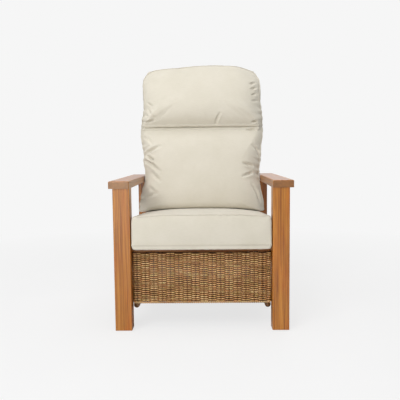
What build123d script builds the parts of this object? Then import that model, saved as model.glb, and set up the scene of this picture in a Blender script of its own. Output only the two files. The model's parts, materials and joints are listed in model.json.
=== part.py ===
from build123d import *
import math
import os

# Driving dimensions of the wooden frame, in millimetres
frame_depth = 678.0
inner_width = 549.0
front_leg_width = 65.5
arm_height = 589.0
arm_thickness = 29.0
arm_overhang = 15.0
arm_nose = 4.0
arm_round = 5.0
front_leg_depth = 57.0
rear_leg_width = 47.5
rear_leg_depth = 50.0
leg_round = 3.0
glide_radius = 12.0
glide_height = 3.0

# Rails and joinery
side_rail_width = 30.0
side_rail_lip = 2.0
upper_rail_bottom = 262.0
lower_rail_bottom = 104.0
lower_rail_height = 40.0
rear_rail_height = 40.0
rear_rail_thickness = 24.0
rear_rail_inset = 14.0
side_tenon_length = 16.0
rear_tenon_length = 28.0
tenon_shoulder = 7.0
tenon_gap = 0.1
arm_tenon_height = 18.0
arm_tenon_side = 34.0

# Seat deck and the rails that carry the recliner
deck_top = 320.0
deck_end = 500.0
slat_thickness = 18.0
slat_width = 46.0
slat_count = 5
slat_side_gap = 0.5
front_board_start = 62.0
front_board_width = 68.0
rear_board_width = 56.0
mount_rail_width = 24.0
mount_rail_height = 50.0
mount_rail_end = 490.0

# Woven panels of the base and their wrapped poles
pole_radius = 12.0
pole_gap = 0.3
top_pole_height = 288.0
bottom_pole_height = 89.7
weave_thickness = 11.0
weave_gap = 0.3
stake_pitch = 16.5
stake_relief = 3.5
side_panel_start = 58.0
side_panel_end_gap = 2.0

# Seat cushion
seat_cushion_gap = 2.0
seat_cushion_front = 133.0
seat_cushion_rear = 99.0
seat_crown = 17.0
seat_corner = 16.0
seat_side_bulge = 1.6
seat_width_shares = [0.972, 0.986, 0.995, 0.998, 0.995, 0.986, 0.972]
seat_crown_shares = [0.35, 0.62, 0.88, 1.0, 0.85, 0.55, 0.25]
seat_place_shares = [0.0, 0.07, 0.24, 0.5, 0.76, 0.93, 1.0]

# Reclining back, which leans by its rake when upright
back_rake = 17.5
back_pivot = (512.0, 286.0)
stile_width = 24.0
stile_depth = 30.0
stile_start = 26.0
stile_length = 784.0
stile_round = 3.0
top_rail_height = 58.0
bottom_rail_height = 46.0
bottom_rail_start = 125.0
back_rail_depth = 20.0
back_slat_count = 5
back_slat_width = 46.0
back_slat_thickness = 10.0

# Levels of the back cushion: height, how far its sides pass the arms' inner faces in front
# and behind, thickness and crown
lower_cushion_levels = [
    (441.5, 1.5, -12.5, 138.0, 9.0),
    (485.0, 6.5, -9.0, 146.0, 13.0),
    (545.0, -4.5, -7.5, 148.0, 15.0),
    (640.0, -1.5, -6.5, 143.0, 16.0),
    (720.0, 11.0, 7.0, 137.0, 17.0),
    (790.0, 19.0, 15.5, 124.0, 14.0),
    (818.0, 15.5, 15.5, 108.0, 8.0),
]
upper_cushion_levels = [
    (818.3, 15.5, 15.5, 108.0, 8.0),
    (840.0, 21.0, 17.5, 132.0, 14.0),
    (915.0, 19.5, 17.0, 138.0, 15.0),
    (1000.0, 17.5, 15.5, 128.0, 13.0),
    (1070.0, 13.5, 12.0, 106.0, 9.0),
    (1106.0, -22.0, -22.0, 84.0, 6.0),
    (1124.0, -85.0, -85.0, 62.0, 4.0),
    (1132.0, -159.5, -159.5, 44.0, 2.0),
]
back_side_bulge = 2.0
back_corner_share = 0.3
cushion_gap = 0.3

# Footrest: a woven panel on a board, hung in front of the seat
panel_front = 35.0
panel_bottom = 107.6
panel_top = 303.0
panel_side_gap = 2.0
panel_weave_thickness = 10.0
board_thickness = 12.0
board_inset = 9.0
board_bottom_inset = 3.0
border_radius = 4.2

# Recliner pivots: distance behind the front legs' faces, and height
swing_pivot = (112.0, 280.0)
control_pivot = (96.0, 217.0)
carrier_pivot = (137.5, 137.0)
control_end = (124.0, 112.0)
torsion_axis = (187.0, 112.0)
footrest_pivot = (74.0, 282.0)
stay_end = (103.0, 276.0)
rod_front = (113.0, 248.5)
rod_rear = (500.0, 236.0)

# Recliner plates, pins and fits
plate_edge = 11.0
plate_top_gap = 0.5
link_thickness = 3.0
link_gap = 1.8
link_half_width = 9.0
pin_radius = 4.0
bolt_radius = 5.0
pin_head_radius = 7.0
pin_head_height = 1.2
pin_float = 0.2
running_gap = 0.05
control_play = 0.7
stay_play = 0.85
rod_play = 1.5
torsion_radius = 6.0
torsion_collar_radius = 10.0
torsion_collar_width = 3.0
washer_thickness = 1.5
washer_radius = 11.0
nut_height = 6.0
nut_radius = 9.5
nut_sides = 6
bolt_end = 2.0
bolt_head_radius = 9.0
bolt_head_height = 3.0
bracket_length = 105.0
bracket_half_width = 12.0
flange_width = 20.0
flange_thickness = 3.0
flange_bottom = 230.0
flange_top = 292.0
screw_radius = 2.5
screw_head_radius = 5.0
screw_head_height = 1.4
screw_length = 16.0
board_screw_length = 9.0
plate_screw_drop = 24.0
plate_screw_shares = [0.2, 0.42, 0.64, 0.84]
bracket_screw_shares = [0.4, 0.68, 0.96]
flange_screw_shares = [0.2, 0.5, 0.8]

# Places that follow from the sizes above
quarter_turn = 90
inner_x = inner_width / 2
half_frame = inner_x + front_leg_width
leg_top = arm_height - arm_thickness
rear_leg_start = frame_depth - rear_leg_depth
rear_leg_outer = inner_x + rear_leg_width
rear_rail_end = frame_depth - rear_rail_inset
rear_rail_start = rear_rail_end - rear_rail_thickness
deck_bottom = deck_top - slat_thickness
upper_rail_top = deck_top + side_rail_lip
pole_x = inner_x - pole_gap - pole_radius
mount_rail_outer = pole_x - pole_radius - pole_gap
plate_reach = mount_rail_outer - mount_rail_width
panel_half_width = inner_x - panel_side_gap
board_front = panel_front + panel_weave_thickness
board_rear = board_front + board_thickness
layer_pitch = link_thickness + link_gap


def block(low, high):
    """Box between its lowest and highest corners."""
    size = Vector(*high) - Vector(*low)
    middle = (Vector(*high) + Vector(*low)) / 2
    return Pos(middle.X, middle.Y, middle.Z) * Box(size.X, size.Y, size.Z)


def eased(shape, axis, radius):
    """The shape with its edges along one axis rounded."""
    return fillet(shape.edges().filter_by(axis), radius)


def mirrored(shape):
    """The same piece for the other side of the chair."""
    return mirror(shape, about=Plane.YZ)


def gathered(*shapes):
    """The solids of several shapes as one group, still separate."""
    return Compound([solid for shape in shapes for solid in shape.solids()])


def pair(*shapes):
    """Small pieces of both sides as one group of separate solids."""
    return gathered(*shapes, *[mirrored(shape) for shape in shapes])


def round_bar(at, x_start, x_end, radius):
    """Round bar along X, at a distance behind the front and a height."""
    middle = Pos((x_start + x_end) / 2, at[0], at[1])
    return middle * Rot(Y=quarter_turn) * Cylinder(radius, abs(x_end - x_start))


def layer(number):
    """Inner and outer X of a layer of links, counted inwards from the side plate."""
    outer = plate_reach - number * layer_pitch
    return outer - link_thickness, outer


def bar(start, end, half_width):
    """Outline of a flat link between two pivots, rounded about each."""
    first, last = Vector(*start), Vector(*end)
    along = last - first
    middle = (first + last) / 2
    turn = math.degrees(math.atan2(along.Y, along.X))
    strip = Pos(middle.X, middle.Y) * Rot(Z=turn) * Rectangle(along.length, 2 * half_width)
    ends = Pos(first.X, first.Y) * Circle(half_width) + Pos(last.X, last.Y) * Circle(half_width)
    return strip + ends


def flat_plate(outline, number, holes):
    """Plate in one layer, with a hole for each pivot and radius."""
    inner, outer = layer(number)
    plate = extrude(Plane.YZ.offset(inner) * outline, amount=outer - inner)
    for at, radius in holes:
        plate -= round_bar(at, inner - link_gap, outer + link_gap, radius)
    return plate


def pivot_pin(at, carrier, rider, carrier_head=True):
    """Pin fixed in the carrier's layer, with a collar up to the rider's layer and a head past it."""
    carrier_inner, carrier_outer = layer(carrier)
    rider_inner, rider_outer = layer(rider)
    inwards = 1 if rider > carrier else -1
    near = carrier_inner if rider > carrier else carrier_outer
    far = carrier_outer if rider > carrier else carrier_inner
    rider_near = rider_outer if rider > carrier else rider_inner
    rider_far = rider_inner if rider > carrier else rider_outer
    collar_end = rider_near + inwards * pin_float
    head_start = rider_far - inwards * pin_float
    head_end = head_start - inwards * pin_head_height
    pin = round_bar(at, far, head_end, pin_radius)
    pin += round_bar(at, near, collar_end, pin_head_radius)
    pin += round_bar(at, head_start, head_end, pin_head_radius)
    if carrier_head:
        pin += round_bar(at, far, far + inwards * pin_head_height, pin_head_radius)
    return pin


def screws(places, x_face, x_end):
    """Round-headed screws along X, their heads on the face and their points at the end."""
    head = x_face + math.copysign(screw_head_height, x_face - x_end)
    made = [
        round_bar(at, x_face, x_end, screw_radius) + round_bar(at, head, x_face, screw_head_radius)
        for at in places
    ]
    return gathered(*made)


def mortise(low, high):
    """Room for a tenon, wider than it all round by the joint's gap."""
    gap = Vector(tenon_gap, tenon_gap, tenon_gap)
    return block(tuple(Vector(*low) - gap), tuple(Vector(*high) + gap))


def pillow_face(face_half, rest_half, depth, crown, corner, bulge):
    """Outline of a cushion: flat where it rests, rounded corners, full sides and a crowned face."""
    sag = corner * (1 - math.sqrt(1 / 2))
    far_corner = depth - corner
    middle = ((face_half + rest_half) / 2 + bulge, depth / 2)

    def side(way):
        """The corners and the full side between them, to the right or the left."""
        rest, rest_end = (way * (rest_half - corner), 0), (way * rest_half, corner)
        face_end, face = (way * face_half, far_corner), (way * (face_half - corner), depth)
        return [
            ThreePointArc(rest, (way * (rest_half - sag), sag), rest_end),
            ThreePointArc(rest_end, (way * middle[0], middle[1]), face_end),
            ThreePointArc(face_end, (way * (face_half - sag), depth - sag), face),
        ]

    rest_line = Line((corner - rest_half, 0), (rest_half - corner, 0))
    crowned = ThreePointArc((face_half - corner, depth), (0, depth + crown), (corner - face_half, depth))
    return make_face([rest_line, crowned, *side(1), *side(-1)])


def legs():
    """Front and rear legs on their glides, mortised for the rails, and tenoned into the arms."""
    front = eased(
        block((inner_x, 0, glide_height), (half_frame, front_leg_depth, leg_top)), Axis.Z, leg_round
    )
    rear = eased(
        block((inner_x, rear_leg_start, glide_height), (rear_leg_outer, frame_depth, leg_top)),
        Axis.Z,
        leg_round,
    )
    front_middle = ((inner_x + half_frame) / 2, front_leg_depth / 2)
    rear_middle = ((inner_x + rear_leg_outer) / 2, (rear_leg_start + frame_depth) / 2)
    front += arm_tenon(front_middle)
    rear += arm_tenon(rear_middle)
    for low, high in side_tenons(front_leg_depth, -1):
        front -= mortise(low, high)
    for low, high in side_tenons(rear_leg_start, 1):
        rear -= mortise(low, high)
    for bottom in (upper_rail_bottom, lower_rail_bottom):
        rear -= mortise(*rear_tenon(bottom))
    glide = Cylinder(glide_radius, glide_height)
    glides = [Pos(*at, glide_height / 2) * glide for at in (front_middle, rear_middle)]
    return front, rear, pair(*glides), front_middle, rear_middle


def arm_tenon(middle, gap=0):
    """Short square tenon on a leg's top, or the room for it in the arm."""
    half = arm_tenon_side / 2 + gap
    low = (middle[0] - half, middle[1] - half, leg_top)
    return block(low, (middle[0] + half, middle[1] + half, leg_top + arm_tenon_height + gap))


def side_tenons(face, way):
    """Corners of the side rails' tenons that enter a leg at its face."""
    end = face + way * side_tenon_length
    near, far = min(face, end), max(face, end)
    outer = inner_x + side_rail_width - tenon_shoulder
    lower_top = lower_rail_bottom + lower_rail_height - tenon_shoulder
    for bottom, top in ((upper_rail_bottom, deck_bottom), (lower_rail_bottom, lower_top)):
        yield (inner_x + tenon_shoulder, near, bottom + tenon_shoulder), (outer, far, top)


def rear_tenon(bottom):
    """Corners of a rear rail's tenon in the right rear leg."""
    return (
        (inner_x, rear_rail_start + tenon_shoulder, bottom + tenon_shoulder),
        (
            inner_x + rear_tenon_length,
            rear_rail_end - tenon_shoulder,
            bottom + rear_rail_height - tenon_shoulder,
        ),
    )


def armrest(front_middle, rear_middle):
    """Flat arm, flush with the legs' inner faces and proud of their outer ones."""
    far_corner = (half_frame + arm_overhang, frame_depth + arm_nose, arm_height)
    arm = eased(block((inner_x, -arm_nose, leg_top), far_corner), Axis.Z, leg_round)
    arm = fillet(arm.faces().sort_by(Axis.Z)[-1].edges(), arm_round)
    for middle in (front_middle, rear_middle):
        arm -= arm_tenon(middle, tenon_gap)
    return arm


def side_rails():
    """Upper side rail, rebated for the slats, and lower side rail, each with a tenon at both ends."""
    far_x = inner_x + side_rail_width
    upper = block((inner_x, front_leg_depth, upper_rail_bottom), (far_x, rear_leg_start, upper_rail_top))
    rebate_x = far_x - tenon_shoulder
    rebate_end = (rebate_x, deck_end + slat_side_gap, upper_rail_top)
    upper -= block((inner_x, front_leg_depth, deck_bottom), rebate_end)
    lower_end = (far_x, rear_leg_start, lower_rail_bottom + lower_rail_height)
    lower = block((inner_x, front_leg_depth, lower_rail_bottom), lower_end)
    rails = [upper, lower]
    for face, way in ((front_leg_depth, -1), (rear_leg_start, 1)):
        for number, (low, high) in enumerate(side_tenons(face, way)):
            rails[number] += block(low, high)
    return rails


def rear_rail(bottom):
    """Rear cross rail with a tenon in each rear leg."""
    rail = block((-inner_x, rear_rail_start, bottom), (inner_x, rear_rail_end, bottom + rear_rail_height))
    tenon = block(*rear_tenon(bottom))
    return rail + tenon + mirrored(tenon)


def seat_deck():
    """Front and rear boards and the slats between them, resting in the side rails' rebates."""
    half = inner_x + side_rail_width - tenon_shoulder - slat_side_gap
    front_end = front_board_start + front_board_width
    rear_start = deck_end - rear_board_width
    front = block((-half, front_board_start, deck_bottom), (half, front_end, deck_top))
    rear = block((-half, rear_start, deck_bottom), (half, deck_end, deck_top))
    opening = (rear_start - front_end - slat_count * slat_width) / (slat_count + 1)
    slats = []
    for number in range(slat_count):
        start = front_end + opening + number * (slat_width + opening)
        slats.append(block((-half, start, deck_bottom), (half, start + slat_width, deck_top)))
    return front, rear, gathered(*slats)


def woven_outline(length, thickness, two_faced):
    """Section of a woven panel, with a rounded rib over each stake on one face or both."""
    count = round(length / stake_pitch)
    ends = [length * (number / count - 1 / 2) for number in range(count + 1)]
    crest = thickness / 2 if two_faced else thickness
    valley = crest - stake_relief
    back = -valley if two_faced else 0
    edges = [Line((end, back), (end, valley)) for end in (ends[0], ends[-1])]
    if not two_faced:
        edges.append(Line((ends[0], back), (ends[-1], back)))
    for side in (1, -1) if two_faced else (1,):
        for start, end in zip(ends, ends[1:]):
            top = ((start + end) / 2, side * crest)
            edges.append(ThreePointArc((start, side * valley), top, (end, side * valley)))
    return make_face(edges)


def side_panel():
    """Woven side panel and the wrapped poles along its top and bottom."""
    end = rear_rail_start - side_panel_end_gap
    poles = []
    for height in (top_pole_height, bottom_pole_height):
        pole = Pos(pole_x, (side_panel_start + end) / 2, height) * Rot(X=quarter_turn)
        poles.append(pole * Cylinder(pole_radius, end - side_panel_start))
    bottom = bottom_pole_height + pole_radius + weave_gap
    top = top_pole_height - pole_radius - weave_gap
    plane = Plane((pole_x, (side_panel_start + end) / 2, bottom), x_dir=(0, 1, 0), z_dir=(0, 0, 1))
    outline = woven_outline(end - side_panel_start, weave_thickness, True)
    return extrude(plane * outline, amount=top - bottom), poles[0], poles[1]


def rear_panel():
    """Woven panel between the two rear rails."""
    bottom = lower_rail_bottom + rear_rail_height
    middle = (rear_rail_start + rear_rail_end) / 2
    plane = Plane((0, middle, bottom), x_dir=(1, 0, 0), z_dir=(0, 0, 1))
    outline = woven_outline(inner_width, weave_thickness, True)
    return extrude(plane * outline, amount=upper_rail_bottom - bottom)


def seat_cushion():
    """Boxed cushion, thinner to the rear, with a crowned top and sides drawn in at its ends."""
    sections = []
    for place, width, crown in zip(seat_place_shares, seat_width_shares, seat_crown_shares):
        height = seat_cushion_front + (seat_cushion_rear - seat_cushion_front) * place
        half = (inner_x - seat_cushion_gap) * width - seat_side_bulge
        face = pillow_face(half, half, height, seat_crown * crown, seat_corner, seat_side_bulge)
        plane = Plane((0, deck_end * place, deck_top + cushion_gap), x_dir=(1, 0, 0), z_dir=(0, -1, 0))
        sections.append(plane * face)
    return loft(sections)


def back_cushion(levels):
    """One part of the back cushion: its levels stacked along the leaning frame."""
    lean = math.tan(math.radians(back_rake))
    front_of_frame = stile_depth / 2 / math.cos(math.radians(back_rake)) + cushion_gap
    sections = []
    for height, front_reach, rear_reach, thickness, crown in levels:
        front_half, rear_half = inner_x + front_reach, inner_x + rear_reach
        rear = back_pivot[0] + (height - back_pivot[1]) * lean - front_of_frame
        plane = Plane((0, rear, height), x_dir=(1, 0, 0), z_dir=(0, 0, -1))
        corner = thickness * back_corner_share
        sections.append(plane * pillow_face(front_half, rear_half, thickness, crown, corner, back_side_bulge))
    return loft(sections)


def back_frame():
    """Stiles, rails and slats of the leaning back."""
    place = Pos(0, back_pivot[0], back_pivot[1]) * Rot(X=-back_rake)
    half = stile_depth / 2
    inside = layer(1)[1]
    stile_end = stile_start + stile_length
    stile = eased(
        block((inside, -half, stile_start), (inside + stile_width, half, stile_end)), Axis.Z, stile_round
    )
    for share in bracket_screw_shares:
        at = (0, bracket_length * share)
        stile -= round_bar(at, inside, inside + screw_length, screw_radius + running_gap)
    top_start = stile_end - top_rail_height
    bottom_end = bottom_rail_start + bottom_rail_height
    top = block((-inside, -half, top_start), (inside, back_rail_depth - half, stile_end))
    bottom = block((-inside, -half, bottom_rail_start), (inside, back_rail_depth - half, bottom_end))
    opening = (2 * inside - back_slat_count * back_slat_width) / (back_slat_count + 1)
    slat_front = (back_rail_depth - back_slat_thickness) / 2 - half
    slats = []
    for number in range(back_slat_count):
        start = -inside + opening + number * (back_slat_width + opening)
        low = (start, slat_front, bottom_end)
        high = (start + back_slat_width, slat_front + back_slat_thickness, top_start)
        slats.append(block(low, high))
    return place * stile, place * top, place * bottom, gathered(*[place * slat for slat in slats])


def along_back(distance):
    """Point on the stile's centre line, at a distance from the back pivot."""
    lean = math.radians(back_rake)
    return back_pivot[0] + distance * math.sin(lean), back_pivot[1] + distance * math.cos(lean)


def back_bracket():
    """Bent lever that carries the stile and pushes the drive rod."""
    outline = bar(back_pivot, along_back(bracket_length), bracket_half_width)
    outline += bar(back_pivot, rod_rear, link_half_width)
    places = [along_back(bracket_length * share) for share in bracket_screw_shares]
    holes = [(at, screw_radius + running_gap) for at in places]
    holes += [(back_pivot, bolt_radius + running_gap), (rod_rear, pin_radius + running_gap)]
    plate = flat_plate(outline, 1, holes)
    inner, outer = layer(1)
    return plate, screws(places, inner, outer + screw_length - running_gap)


def side_plate():
    """Fixed plate under the deck that carries the recliner's fixed pivots."""
    top = deck_bottom - plate_top_gap
    front = control_pivot[0] - plate_edge
    rear = back_pivot[0] + plate_edge
    neck = back_pivot[1] - plate_edge
    outline = make_face(
        Polyline(
            (front, top),
            (front, control_pivot[1] - plate_edge),
            (control_pivot[0] + plate_edge, control_pivot[1] - plate_edge),
            (swing_pivot[0] + 2 * plate_edge, neck - plate_edge),
            (rear, neck - plate_edge),
            (rear, top),
            (front, top),
        )
    )
    places = plate_screw_places()
    holes = [(at, screw_radius + running_gap) for at in places]
    holes += [(at, pin_radius + running_gap) for at in (swing_pivot, control_pivot)]
    holes.append((back_pivot, bolt_radius + running_gap))
    return flat_plate(outline, 0, holes)


def plate_screw_places():
    """Where the side plate is screwed to its rail."""
    front, height = control_pivot[0], deck_bottom - plate_screw_drop
    return [(front + (mount_rail_end - front) * share, height) for share in plate_screw_shares]


def mount_rail():
    """Rail under the slats that the side plate is screwed to."""
    low = (plate_reach, front_board_start, deck_bottom - mount_rail_height)
    rail = block(low, (mount_rail_outer, mount_rail_end, deck_bottom))
    for at in plate_screw_places():
        rail -= round_bar(at, plate_reach, plate_reach + screw_length, screw_radius + running_gap)
    return rail


def torsion_rod():
    """Rod that ties the two swing arms, shouldered against them and beside each stay link."""
    arm_inner, arm_outer = layer(2)
    stay_inner, stay_outer = layer(5)
    rod = round_bar(torsion_axis, -arm_outer, arm_outer, torsion_radius)
    ends = [
        (arm_inner - pin_head_height, arm_inner),
        (stay_outer + pin_float, stay_outer + pin_float + torsion_collar_width),
        (stay_inner - pin_float - torsion_collar_width, stay_inner - pin_float),
    ]
    for start, end in ends:
        collar = round_bar(torsion_axis, start, end, torsion_collar_radius)
        rod += collar + mirrored(collar)
    return rod


def links():
    """Swing arm, carrier, control, stay and drive rod of the right side."""
    free = pin_radius + running_gap
    torsion_hole = (torsion_axis, torsion_radius + running_gap)
    swing = chain(carrier_pivot, swing_pivot, torsion_axis) + chain(swing_pivot, rod_front)
    swing_holes = [(at, free) for at in (swing_pivot, carrier_pivot, rod_front)]
    carrier_holes = [(at, free) for at in (footrest_pivot, carrier_pivot, control_end)]
    control_holes = [(control_pivot, free), (control_end, pin_radius + control_play)]
    stay_holes = [torsion_hole, (stay_end, pin_radius + stay_play)]
    rod_holes = [(rod_front, pin_radius + rod_play), (rod_rear, free)]
    return (
        flat_plate(swing, 2, [*swing_holes, torsion_hole]),
        flat_plate(chain(footrest_pivot, carrier_pivot, control_end), 3, carrier_holes),
        flat_plate(chain(control_pivot, control_end), 1, control_holes),
        flat_plate(chain(torsion_axis, stay_end), 5, stay_holes),
        flat_plate(chain(rod_front, rod_rear), 3, rod_holes),
    )


def chain(*pivots):
    """Outline of a link through several pivots."""
    outline = bar(*pivots[:2], link_half_width)
    for start, end in zip(pivots[1:], pivots[2:]):
        outline += bar(start, end, link_half_width)
    return outline


def footrest_bracket():
    """Angle bracket that joins the footrest's board to the carrier and stay links."""
    inner, outer = layer(4)
    reach = Pos((board_rear + footrest_pivot[0]) / 2, (flange_bottom + flange_top) / 2)
    web = reach * Rectangle(footrest_pivot[0] - board_rear, flange_top - flange_bottom)
    outline = web + bar(footrest_pivot, stay_end, link_half_width)
    holes = [(at, pin_radius + running_gap) for at in (footrest_pivot, stay_end)]
    flange_x = inner - flange_width
    bracket = flat_plate(outline, 4, holes)
    bracket += block((flange_x, board_rear, flange_bottom), (inner, board_rear + flange_thickness, flange_top))
    head_start = board_rear + flange_thickness
    head_end = head_start + screw_head_height
    start = board_rear - board_screw_length
    made, rooms = [], []
    for share in flange_screw_shares:
        at = ((flange_x + inner) / 2, flange_bottom + (flange_top - flange_bottom) * share)
        room = level_bar(at, start, head_end, screw_radius + running_gap)
        bracket -= room
        rooms.append(room)
        head = level_bar(at, head_start, head_end, screw_head_radius)
        made.append(level_bar(at, start, head_end, screw_radius) + head)
    return bracket, gathered(*made), rooms


def level_bar(at, y_start, y_end, radius):
    """Round bar along Y, at a distance to the right and a height."""
    middle = Pos(at[0], (y_start + y_end) / 2, at[1])
    return middle * Rot(X=quarter_turn) * Cylinder(radius, y_end - y_start)


def footrest_panel(rooms):
    """Board, woven face and the border along its bottom edge."""
    half = panel_half_width - board_inset
    low = (-half, board_front, panel_bottom + board_bottom_inset)
    board = block(low, (half, board_rear, panel_top - board_bottom_inset))
    for room in rooms:
        board -= room + mirrored(room)
    plane = Plane((0, board_front, panel_bottom), x_dir=(-1, 0, 0), z_dir=(0, 0, 1))
    outline = woven_outline(2 * panel_half_width, panel_weave_thickness, False)
    weave = extrude(plane * outline, amount=panel_top - panel_bottom)
    place = (panel_front + panel_weave_thickness / 2, panel_bottom - border_radius)
    border = round_bar(place, -panel_half_width, panel_half_width, border_radius)
    return board, weave, border


def tension_stack():
    """Back pivot bolts, and the washers and nuts that brake the back."""
    bracket_inner, bracket_outer = layer(1)
    washer_end = bracket_inner - washer_thickness
    nut_end = washer_end - nut_height
    bolt = round_bar(back_pivot, plate_reach, nut_end - bolt_end, bolt_radius)
    bolt += round_bar(back_pivot, plate_reach, plate_reach + bolt_head_height, bolt_head_radius)
    room = round_bar(back_pivot, plate_reach, nut_end - bolt_end, bolt_radius + running_gap)
    between = round_bar(back_pivot, bracket_outer, layer(0)[0], washer_radius) - room
    under_nut = round_bar(back_pivot, washer_end, bracket_inner, washer_radius) - room
    hexagon = Plane.YZ.offset(nut_end) * Pos(*back_pivot) * RegularPolygon(nut_radius, nut_sides)
    nut = extrude(hexagon, amount=nut_height) - room
    return pair(bolt), pair(between, under_nut), pair(nut)


def build():
    """Every piece by the name of its node."""
    nodes = {}

    def both_sides(name, shape):
        nodes[name + "_right"] = shape
        nodes[name + "_left"] = mirrored(shape)

    front_leg, rear_leg, nodes["leg_glides"], front_middle, rear_middle = legs()
    both_sides("front_leg", front_leg)
    both_sides("rear_leg", rear_leg)
    both_sides("armrest", armrest(front_middle, rear_middle))
    upper_rail, lower_rail = side_rails()
    both_sides("side_rail_upper", upper_rail)
    both_sides("side_rail_lower", lower_rail)
    nodes["rear_rail_upper"] = rear_rail(upper_rail_bottom)
    nodes["rear_rail_lower"] = rear_rail(lower_rail_bottom)
    nodes["seat_front_board"], nodes["seat_rear_board"], nodes["seat_slats"] = seat_deck()
    both_sides("mount_rail", mount_rail())
    weave, top_pole, bottom_pole = side_panel()
    both_sides("side_weave", weave)
    nodes["side_poles_top"] = pair(top_pole)
    nodes["side_poles_bottom"] = pair(bottom_pole)
    nodes["rear_weave"] = rear_panel()
    nodes["seat_cushion"] = seat_cushion()

    both_sides("side_plate", side_plate())
    plate_face = layer(0)[0]
    screw_end = plate_reach + screw_length - running_gap
    nodes["side_plate_screws"] = pair(screws(plate_screw_places(), plate_face, screw_end))
    nodes["base_pivot_pins"] = pair(
        pivot_pin(swing_pivot, 0, 2, False), pivot_pin(control_pivot, 0, 1, False)
    )
    nodes["back_pivot_bolts"], nodes["tension_washers"], nodes["tension_nuts"] = tension_stack()

    stile, nodes["back_top_rail"], nodes["back_bottom_rail"], nodes["back_slats"] = back_frame()
    both_sides("back_stile", stile)
    bracket, bracket_screws = back_bracket()
    both_sides("back_bracket", bracket)
    nodes["back_bracket_screws"] = pair(bracket_screws)
    nodes["rod_rear_pins"] = pair(pivot_pin(rod_rear, 1, 3))
    nodes["back_cushion_lower"] = back_cushion(lower_cushion_levels)
    nodes["back_cushion_upper"] = back_cushion(upper_cushion_levels)

    swing_arm, carrier_link, control_link, stay_link, drive_rod = links()
    both_sides("swing_arm", swing_arm)
    both_sides("carrier_link", carrier_link)
    nodes["control_links"] = pair(control_link)
    nodes["stay_links"] = pair(stay_link)
    nodes["drive_rods"] = pair(drive_rod)
    nodes["torsion_rod"] = torsion_rod()
    nodes["swing_arm_pins"] = pair(pivot_pin(carrier_pivot, 2, 3), pivot_pin(rod_front, 2, 3))
    nodes["carrier_pins"] = pair(pivot_pin(control_end, 3, 1), pivot_pin(footrest_pivot, 3, 4))
    foot_bracket, flange_screws, rooms = footrest_bracket()
    both_sides("footrest_bracket", foot_bracket)
    nodes["footrest_screws"] = pair(flange_screws)
    nodes["stay_pins"] = pair(pivot_pin(stay_end, 4, 5))
    nodes["footrest_board"], nodes["footrest_weave"], nodes["footrest_border"] = footrest_panel(rooms)
    return nodes


def export(nodes):
    """Writes each node about the middle of the chair's footprint, on the floor."""
    boxes = [shape.bounding_box() for shape in nodes.values()]
    front = min(box.min.Y for box in boxes)
    rear = max(box.max.Y for box in boxes)
    centred = Pos(0, -(front + rear) / 2, 0)
    os.makedirs("parts", exist_ok=True)
    for name, shape in nodes.items():
        export_step(gathered(*[centred * solid for solid in shape.solids()]), f"parts/{name}.step")


export(build())
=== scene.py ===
import bpy
import json
import math
import numpy as np
from mathutils import Matrix, Vector
from mathutils.bvhtree import BVHTree


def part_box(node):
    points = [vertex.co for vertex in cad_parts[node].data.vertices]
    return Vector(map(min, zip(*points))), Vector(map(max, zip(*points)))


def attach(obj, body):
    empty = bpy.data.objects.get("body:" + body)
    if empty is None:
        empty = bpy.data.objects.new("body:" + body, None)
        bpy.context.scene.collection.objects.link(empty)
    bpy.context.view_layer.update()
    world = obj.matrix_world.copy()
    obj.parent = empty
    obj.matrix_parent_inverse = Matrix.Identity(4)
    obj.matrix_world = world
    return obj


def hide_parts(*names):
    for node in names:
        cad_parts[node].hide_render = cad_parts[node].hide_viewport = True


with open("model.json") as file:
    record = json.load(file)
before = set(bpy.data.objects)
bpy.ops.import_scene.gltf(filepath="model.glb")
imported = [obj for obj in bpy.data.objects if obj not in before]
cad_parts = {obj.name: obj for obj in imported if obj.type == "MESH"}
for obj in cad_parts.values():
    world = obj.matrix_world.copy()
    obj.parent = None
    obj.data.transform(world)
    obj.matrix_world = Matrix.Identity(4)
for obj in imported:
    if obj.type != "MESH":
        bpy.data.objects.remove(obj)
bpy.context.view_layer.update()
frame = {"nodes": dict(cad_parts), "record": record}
nodes = frame["nodes"]
scene = bpy.context.scene
scene.view_settings.view_transform = "Standard"
rng = np.random.default_rng(7)

mm = 0.001
full_turn = 2 * math.pi
white = (1.0, 1.0, 1.0, 1.0)

# The camera and the rear of the seat are placed behind the front legs' faces
front_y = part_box("front_leg_left")[0].y
# The arms' inner sides, between which the pads lie
inner_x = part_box("armrest_right")[0].x

# Camera of the photograph, worked out from the chair's straight edges
focal_px, picture_px, sensor = 530.0, 400.0, 36.0
near_clip, far_clip = 0.05, 50.0
camera_at = Vector((0.0294, -2.0194 + front_y, 0.6919))
yaw, pitch, roll = (math.radians(angle) for angle in (0.94, 5.02, 0.59))


def camera_axes():
    """Right, up and forward of the camera."""
    level_cos, level_sin = math.cos(yaw), math.sin(yaw)
    tilt_cos, tilt_sin = math.cos(pitch), math.sin(pitch)
    forward = Vector((-tilt_cos * level_sin, tilt_cos * level_cos, -tilt_sin))
    level = Vector((level_cos, level_sin, 0.0))
    top = Vector((-tilt_sin * level_sin, tilt_sin * level_cos, tilt_cos))
    right = math.cos(roll) * level - math.sin(roll) * top
    up = math.sin(roll) * level + math.cos(roll) * top
    return right, up, forward


def add_camera():
    """Puts the photograph's camera into the scene."""
    right, up, forward = camera_axes()
    data = bpy.data.cameras.new("camera")
    data.sensor_width = sensor
    data.lens = focal_px / picture_px * sensor
    data.clip_start, data.clip_end = near_clip, far_clip
    camera = bpy.data.objects.new("camera", data)
    scene.collection.objects.link(camera)
    turn = Matrix((right, up, -forward)).transposed()
    camera.matrix_world = Matrix.Translation(camera_at) @ turn.to_4x4()
    scene.camera = camera


def pixel_ray(px, py):
    """Direction from the camera through a place in the 400 pixel picture."""
    right, up, forward = camera_axes()
    half = picture_px / 2
    return (forward * focal_px + right * (px - half) + up * (half - py)).normalized()


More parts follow.
